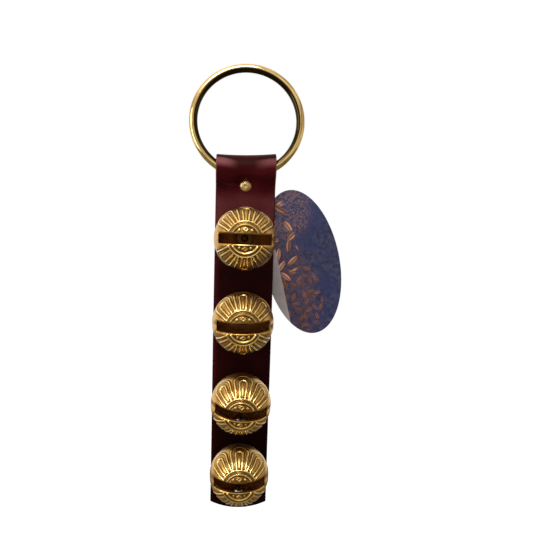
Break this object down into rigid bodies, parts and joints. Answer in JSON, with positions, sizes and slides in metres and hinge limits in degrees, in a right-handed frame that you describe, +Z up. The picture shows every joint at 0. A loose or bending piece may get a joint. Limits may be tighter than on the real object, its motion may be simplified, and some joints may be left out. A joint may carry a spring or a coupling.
{
  "type": "bell strap",
  "caption": "Leather strap folded and riveted over a metal ring, with slotted round brass bells screwed to its front, a loose ball in each bell, and an oval card tag behind it.",
  "frame": {"origin": "the point inside the ring, at its top, where a knob or hook carries it", "axes": "+Z up along the hanging ring, +X to the right seen from the bells' side, +Y to the back, so the bells face -Y"},
  "size_m": [0.1023, 0.0765, 0.2957],
  "materials": {
    "oxblood_leather": "glossy finished oxblood leather with fine grain and burnished edges",
    "bell_brass": "cast and polished brass, darker in the recesses",
    "ring_brass": "polished brass wire",
    "fastener_brass": "pale brass, dulled by handling",
    "steel_ball": "dark polished steel ball",
    "printed_card": "thin printed card with a satin surface"
  },
  "bodies": {
    "ring": {"ring": "ring_brass"},
    "strap": {"strap": "oxblood_leather", "fold_rivet": "fastener_brass", "rivet_burr": "fastener_brass", "bell_1": "bell_brass", "bell_2": "bell_brass", "bell_3": "bell_brass", "bell_4": "bell_brass", "bell_screw_1": "fastener_brass", "bell_screw_2": "fastener_brass", "bell_screw_3": "fastener_brass", "bell_screw_4": "fastener_brass", "bell_washer_1": "fastener_brass", "bell_washer_2": "fastener_brass", "bell_washer_3": "fastener_brass", "bell_washer_4": "fastener_brass", "swing_tag": "printed_card"},
    "clapper_1": {"clapper_1": "steel_ball"},
    "clapper_2": {"clapper_2": "steel_ball"},
    "clapper_3": {"clapper_3": "steel_ball"},
    "clapper_4": {"clapper_4": "steel_ball"}
  },
  "joints": [
    {"name": "strap_swing", "type": "hinge", "parent": "ring", "child": "strap", "pos_m": [0, 0, -0.06308], "axis": [1, 0, 0], "range_deg": [-140, 150]},
    {"name": "clapper_1_roll", "type": "slide", "parent": "strap", "child": "clapper_1", "axis": [0, 0, 1], "range_m": [0, 0.023]},
    {"name": "clapper_2_roll", "type": "slide", "parent": "strap", "child": "clapper_2", "axis": [0, 0, 1], "range_m": [0, 0.023]},
    {"name": "clapper_3_roll", "type": "slide", "parent": "strap", "child": "clapper_3", "axis": [0, 0, 1], "range_m": [0, 0.023]},
    {"name": "clapper_4_roll", "type": "slide", "parent": "strap", "child": "clapper_4", "axis": [0, 0, 1], "range_m": [0, 0.023]}
  ]
}
